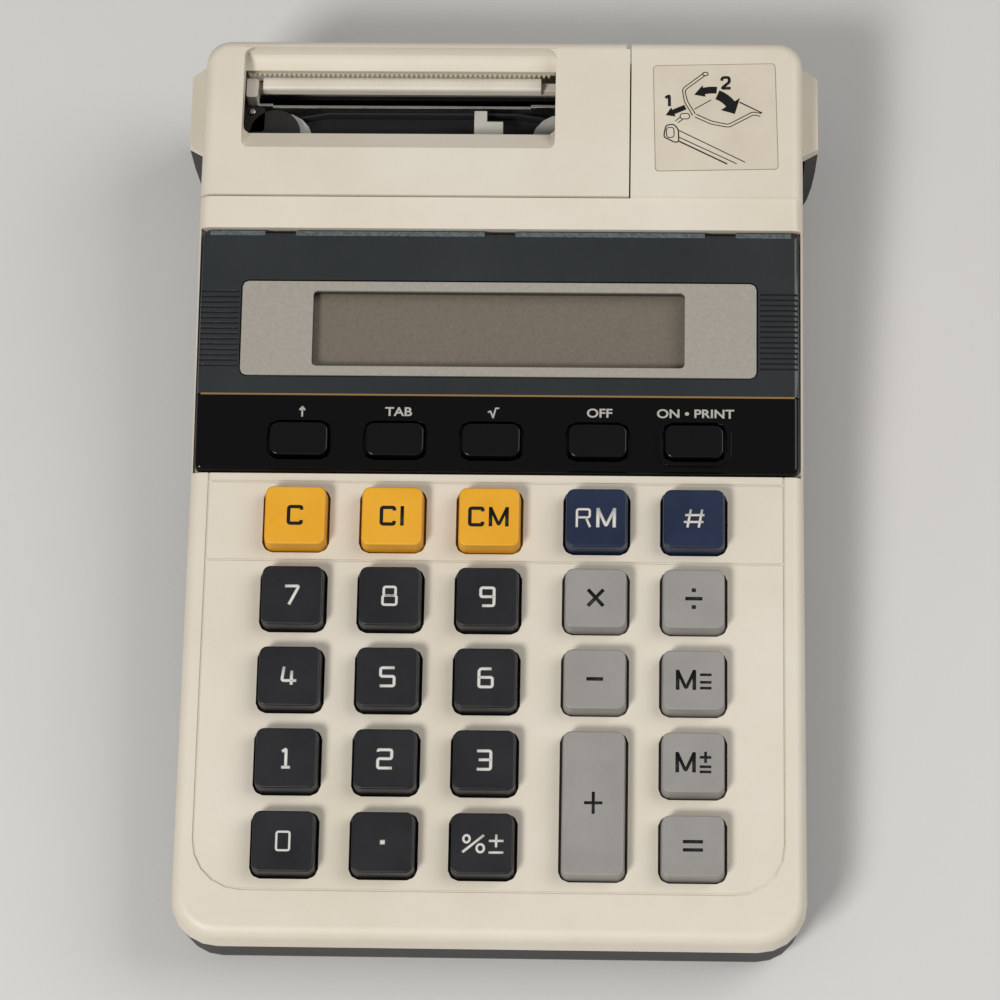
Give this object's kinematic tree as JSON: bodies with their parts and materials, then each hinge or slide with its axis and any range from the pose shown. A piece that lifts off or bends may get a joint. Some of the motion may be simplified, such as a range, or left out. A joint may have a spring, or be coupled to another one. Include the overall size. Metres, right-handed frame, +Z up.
{
  "type": "printing calculator",
  "caption": "Wedge-shaped portable printing calculator with sprung keys, a display, a ribbon printer under a lift-up cover and a folding paper bail.",
  "frame": {"origin": "centre of the footprint, on the surface that the feet stand on", "axes": "+X to the user's right, +Y to the rear, +Z up"},
  "size_m": [0.1278, 0.1846, 0.0372],
  "materials": {
    "cream_abs": "fine matt moulded texture",
    "dark_abs": "fine matt moulded texture",
    "panel_acrylic": "gloss over a printed blue-grey",
    "strip_acrylic": "high gloss",
    "bezel_print": "silver-grey print",
    "lcd_face": "satin polariser",
    "grey_silicone": "matt",
    "board_laminate": "solder mask",
    "digit_key": "semi gloss",
    "operator_key": "semi gloss",
    "clear_key": "semi gloss",
    "memory_key": "semi gloss",
    "function_key": "gloss",
    "mechanism_plastic": "glass-filled, matt",
    "black_rubber": "matt",
    "gear_acetal": "natural acetal",
    "carriage_acetal": "satin",
    "ribbon_fabric": "inked weave",
    "guide_plastic": "satin white",
    "tear_plastic": "translucent",
    "steel": "bright",
    "cell_jacket": "shrink-wrapped jacket",
    "jack_plastic": "matt"
  },
  "bodies": {
    "case": {"upper_case": "cream_abs", "lower_case": "dark_abs", "display_panel": "panel_acrylic", "function_panel": "strip_acrylic", "lcd_bezel": "bezel_print", "lcd_glass": "lcd_face", "key_mat": "grey_silicone", "circuit_board": "board_laminate", "printer_frame": "mechanism_plastic", "motor": "steel", "carriage_rod": "steel", "ribbon": "ribbon_fabric", "platen_plate": "steel", "paper_guide": "guide_plastic", "tear_bar": "tear_plastic", "battery_pack": "cell_jacket", "dc_jack": "jack_plastic", "foot_front_left": "black_rubber", "foot_front_right": "black_rubber", "foot_rear_left": "black_rubber", "foot_rear_right": "black_rubber"},
    "cover": {"printer_cover": "cream_abs"},
    "bail": {"paper_bail": "steel"},
    "door": {"battery_door": "dark_abs"},
    "feed": {"feed_roller": "black_rubber", "feed_gear": "gear_acetal"},
    "pinion": {"motor_pinion": "gear_acetal"},
    "carriage": {"print_carriage": "carriage_acetal"},
    "spool_left": {"ribbon_spool_left": "gear_acetal"},
    "spool_right": {"ribbon_spool_right": "gear_acetal"},
    "zero": {"key_zero": "digit_key"},
    "point": {"key_point": "digit_key"},
    "percent_sign": {"key_percent_sign": "digit_key"},
    "equals": {"key_equals": "operator_key"},
    "one": {"key_one": "digit_key"},
    "two": {"key_two": "digit_key"},
    "three": {"key_three": "digit_key"},
    "plus": {"key_plus": "operator_key"},
    "memory_plus_minus": {"key_memory_plus_minus": "operator_key"},
    "four": {"key_four": "digit_key"},
    "five": {"key_five": "digit_key"},
    "six": {"key_six": "digit_key"},
    "minus": {"key_minus": "operator_key"},
    "memory_equals": {"key_memory_equals": "operator_key"},
    "seven": {"key_seven": "digit_key"},
    "eight": {"key_eight": "digit_key"},
    "nine": {"key_nine": "digit_key"},
    "multiply": {"key_multiply": "operator_key"},
    "divide": {"key_divide": "operator_key"},
    "clear": {"key_clear": "clear_key"},
    "clear_entry": {"key_clear_entry": "clear_key"},
    "clear_memory": {"key_clear_memory": "clear_key"},
    "recall_memory": {"key_recall_memory": "memory_key"},
    "item_count": {"key_item_count": "memory_key"},
    "feed_key": {"key_feed": "function_key"},
    "tab": {"key_tab": "function_key"},
    "root_key": {"key_root": "function_key"},
    "off": {"key_off": "function_key"},
    "on_print": {"key_on_print": "function_key"}
  },
  "joints": [
    {"name": "cover_hinge", "type": "hinge", "parent": "case", "child": "cover", "pos_m": [0, 0.05718, 0.03561], "axis": [1, 0, 0], "range_deg": [0, 70]},
    {"name": "bail_hinge", "type": "hinge", "parent": "case", "child": "bail", "pos_m": [0, 0.08085, 0.007], "axis": [1, 0, 0], "range_deg": [0, 190]},
    {"name": "door_hinge", "type": "hinge", "parent": "case", "child": "door", "pos_m": [0, 0.01415, 0.0012], "axis": [-1, 0, 0], "range_deg": [0, 85]},
    {"name": "feed_spin", "type": "hinge", "parent": "case", "child": "feed", "pos_m": [0, 0.07995, 0.01964], "axis": [1, 0, 0], "continuous": true},
    {"name": "pinion_spin", "type": "hinge", "parent": "case", "child": "pinion", "pos_m": [0, 0.06915, 0.01964], "axis": [1, 0, 0], "continuous": true},
    {"name": "carriage_slide", "type": "slide", "parent": "case", "child": "carriage", "axis": [-1, 0, 0], "range_m": [0, 0.029]},
    {"name": "spool_left_spin", "type": "hinge", "parent": "case", "child": "spool_left", "pos_m": [-0.0453, 0.07355, 0.025], "axis": [0, 0, 1], "continuous": true},
    {"name": "spool_right_spin", "type": "hinge", "parent": "case", "child": "spool_right", "pos_m": [0.012, 0.07355, 0.025], "axis": [0, 0, 1], "continuous": true},
    {"name": "press_zero", "type": "slide", "parent": "case", "child": "zero", "axis": [0, 0.0698, -0.9976], "range_m": [0, 0.0015], "stiffness_N_per_m": 120},
    {"name": "press_point", "type": "slide", "parent": "case", "child": "point", "axis": [0, 0.0698, -0.9976], "range_m": [0, 0.0015], "stiffness_N_per_m": 120},
    {"name": "press_percent_sign", "type": "slide", "parent": "case", "child": "percent_sign", "axis": [0, 0.0698, -0.9976], "range_m": [0, 0.0015], "stiffness_N_per_m": 120},
    {"name": "press_equals", "type": "slide", "parent": "case", "child": "equals", "axis": [0, 0.0698, -0.9976], "range_m": [0, 0.0015], "stiffness_N_per_m": 120},
    {"name": "press_one", "type": "slide", "parent": "case", "child": "one", "axis": [0, 0.0698, -0.9976], "range_m": [0, 0.0015], "stiffness_N_per_m": 120},
    {"name": "press_two", "type": "slide", "parent": "case", "child": "two", "axis": [0, 0.0698, -0.9976], "range_m": [0, 0.0015], "stiffness_N_per_m": 120},
    {"name": "press_three", "type": "slide", "parent": "case", "child": "three", "axis": [0, 0.0698, -0.9976], "range_m": [0, 0.0015], "stiffness_N_per_m": 120},
    {"name": "press_plus", "type": "slide", "parent": "case", "child": "plus", "axis": [0, 0.0698, -0.9976], "range_m": [0, 0.0015], "stiffness_N_per_m": 120},
    {"name": "press_memory_plus_minus", "type": "slide", "parent": "case", "child": "memory_plus_minus", "axis": [0, 0.0698, -0.9976], "range_m": [0, 0.0015], "stiffness_N_per_m": 120},
    {"name": "press_four", "type": "slide", "parent": "case", "child": "four", "axis": [0, 0.0698, -0.9976], "range_m": [0, 0.0015], "stiffness_N_per_m": 120},
    {"name": "press_five", "type": "slide", "parent": "case", "child": "five", "axis": [0, 0.0698, -0.9976], "range_m": [0, 0.0015], "stiffness_N_per_m": 120},
    {"name": "press_six", "type": "slide", "parent": "case", "child": "six", "axis": [0, 0.0698, -0.9976], "range_m": [0, 0.0015], "stiffness_N_per_m": 120},
    {"name": "press_minus", "type": "slide", "parent": "case", "child": "minus", "axis": [0, 0.0698, -0.9976], "range_m": [0, 0.0015], "stiffness_N_per_m": 120},
    {"name": "press_memory_equals", "type": "slide", "parent": "case", "child": "memory_equals", "axis": [0, 0.0698, -0.9976], "range_m": [0, 0.0015], "stiffness_N_per_m": 120},
    {"name": "press_seven", "type": "slide", "parent": "case", "child": "seven", "axis": [0, 0.0698, -0.9976], "range_m": [0, 0.0015], "stiffness_N_per_m": 120},
    {"name": "press_eight", "type": "slide", "parent": "case", "child": "eight", "axis": [0, 0.0698, -0.9976], "range_m": [0, 0.0015], "stiffness_N_per_m": 120},
    {"name": "press_nine", "type": "slide", "parent": "case", "child": "nine", "axis": [0, 0.0698, -0.9976], "range_m": [0, 0.0015], "stiffness_N_per_m": 120},
    {"name": "press_multiply", "type": "slide", "parent": "case", "child": "multiply", "axis": [0, 0.0698, -0.9976], "range_m": [0, 0.0015], "stiffness_N_per_m": 120},
    {"name": "press_divide", "type": "slide", "parent": "case", "child": "divide", "axis": [0, 0.0698, -0.9976], "range_m": [0, 0.0015], "stiffness_N_per_m": 120},
    {"name": "press_clear", "type": "slide", "parent": "case", "child": "clear", "axis": [0, 0.0698, -0.9976], "range_m": [0, 0.0015], "stiffness_N_per_m": 120},
    {"name": "press_clear_entry", "type": "slide", "parent": "case", "child": "clear_entry", "axis": [0, 0.0698, -0.9976], "range_m": [0, 0.0015], "stiffness_N_per_m": 120},
    {"name": "press_clear_memory", "type": "slide", "parent": "case", "child": "clear_memory", "axis": [0, 0.0698, -0.9976], "range_m": [0, 0.0015], "stiffness_N_per_m": 120},
    {"name": "press_recall_memory", "type": "slide", "parent": "case", "child": "recall_memory", "axis": [0, 0.0698, -0.9976], "range_m": [0, 0.0015], "stiffness_N_per_m": 120},
    {"name": "press_item_count", "type": "slide", "parent": "case", "child": "item_count", "axis": [0, 0.0698, -0.9976], "range_m": [0, 0.0015], "stiffness_N_per_m": 120},
    {"name": "press_feed", "type": "slide", "parent": "case", "child": "feed_key", "axis": [0, 0.1271, -0.9919], "range_m": [0, 0.0008], "stiffness_N_per_m": 60},
    {"name": "press_tab", "type": "slide", "parent": "case", "child": "tab", "axis": [0, 0.1271, -0.9919], "range_m": [0, 0.0008], "stiffness_N_per_m": 60},
    {"name": "press_root", "type": "slide", "parent": "case", "child": "root_key", "axis": [0, 0.1271, -0.9919], "range_m": [0, 0.0008], "stiffness_N_per_m": 60},
    {"name": "press_off", "type": "slide", "parent": "case", "child": "off", "axis": [0, 0.1271, -0.9919], "range_m": [0, 0.0008], "stiffness_N_per_m": 60},
    {"name": "press_on_print", "type": "slide", "parent": "case", "child": "on_print", "axis": [0, 0.1271, -0.9919], "range_m": [0, 0.0008], "stiffness_N_per_m": 60}
  ],
  "couplings": [
    {"joint": "pinion_spin", "follows": "feed_spin", "ratio": -2},
    {"joint": "spool_right_spin", "follows": "spool_left_spin", "ratio": 1}
  ]
}
